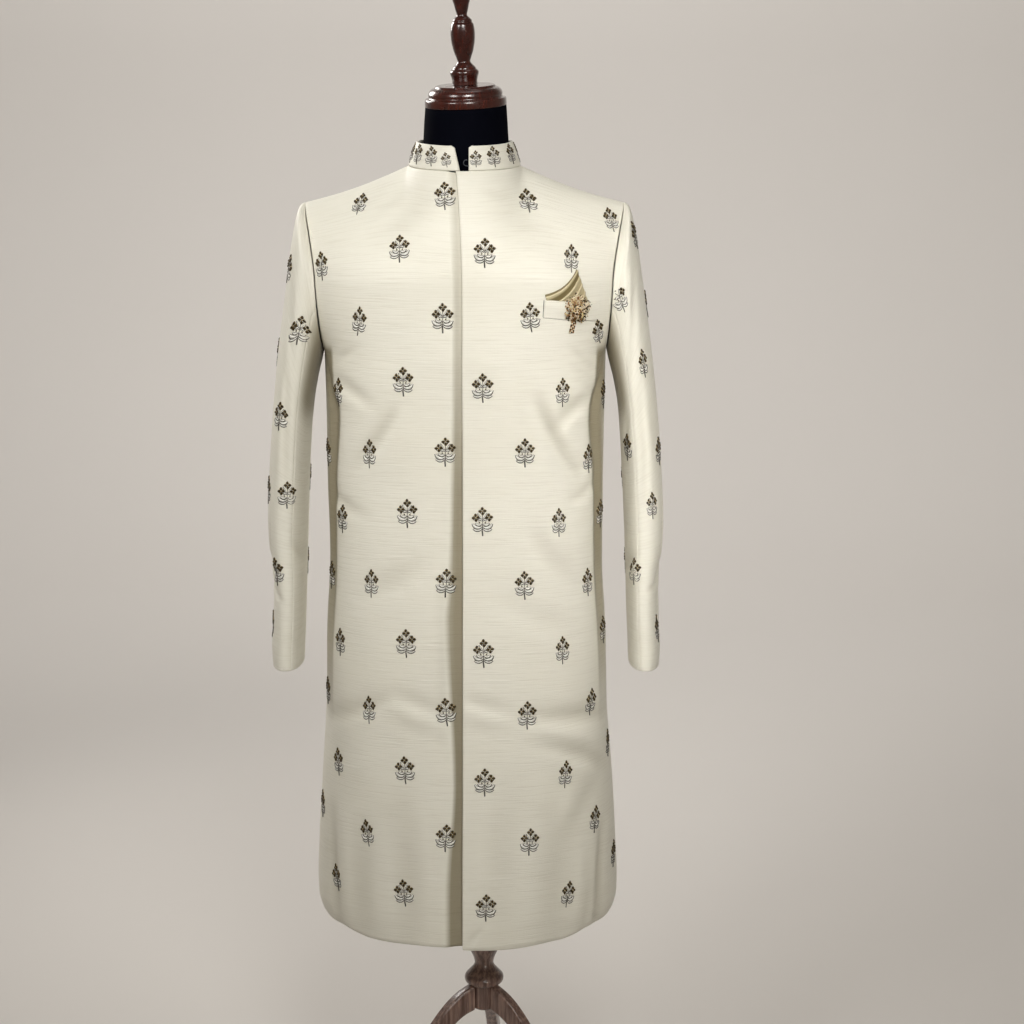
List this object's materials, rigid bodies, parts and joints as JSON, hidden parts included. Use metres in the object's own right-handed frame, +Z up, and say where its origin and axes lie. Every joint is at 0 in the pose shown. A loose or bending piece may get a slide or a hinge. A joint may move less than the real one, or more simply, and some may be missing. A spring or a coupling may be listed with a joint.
{
  "type": "sherwani coat on dress form",
  "caption": "Knee-length ivory silk coat with stand collar, concealed front and breast pocket, worn by a limbless dress form on a turned wooden tripod stand",
  "frame": {"origin": "on the floor, below the middle of the whole part's footprint", "axes": "+Z up; the front of the coat faces -Y; the wearer's left is +X"},
  "size_m": [0.5568, 0.4086, 1.7276],
  "materials": {
    "ivory_silk": "ivory raw silk with fine slubs and small dark-gold beaded sprigs",
    "olive_satin": "olive-gold satin",
    "brooch_gold": "gold, copper and cream beads",
    "hook_steel": "bent steel wire",
    "navy_cover": "close navy jersey cover",
    "mahogany": "polished dark mahogany"
  },
  "bodies": {
    "root": {"back_left": "ivory_silk", "back_right": "ivory_silk", "breast_welt": "ivory_silk", "brooch": "brooch_gold", "collar_hook": "hook_steel", "collar_left": "ivory_silk", "collar_right": "ivory_silk", "form_cap": "mahogany", "form_finial": "mahogany", "form_torso": "navy_cover", "front_left": "ivory_silk", "front_right": "ivory_silk", "leg_back": "mahogany", "leg_left": "mahogany", "leg_right": "mahogany", "pocket_square": "olive_satin", "post": "mahogany", "under_sleeve_left": "ivory_silk", "under_sleeve_right": "ivory_silk", "upper_sleeve_left": "ivory_silk", "upper_sleeve_right": "ivory_silk"}
  },
  "joints": []
}
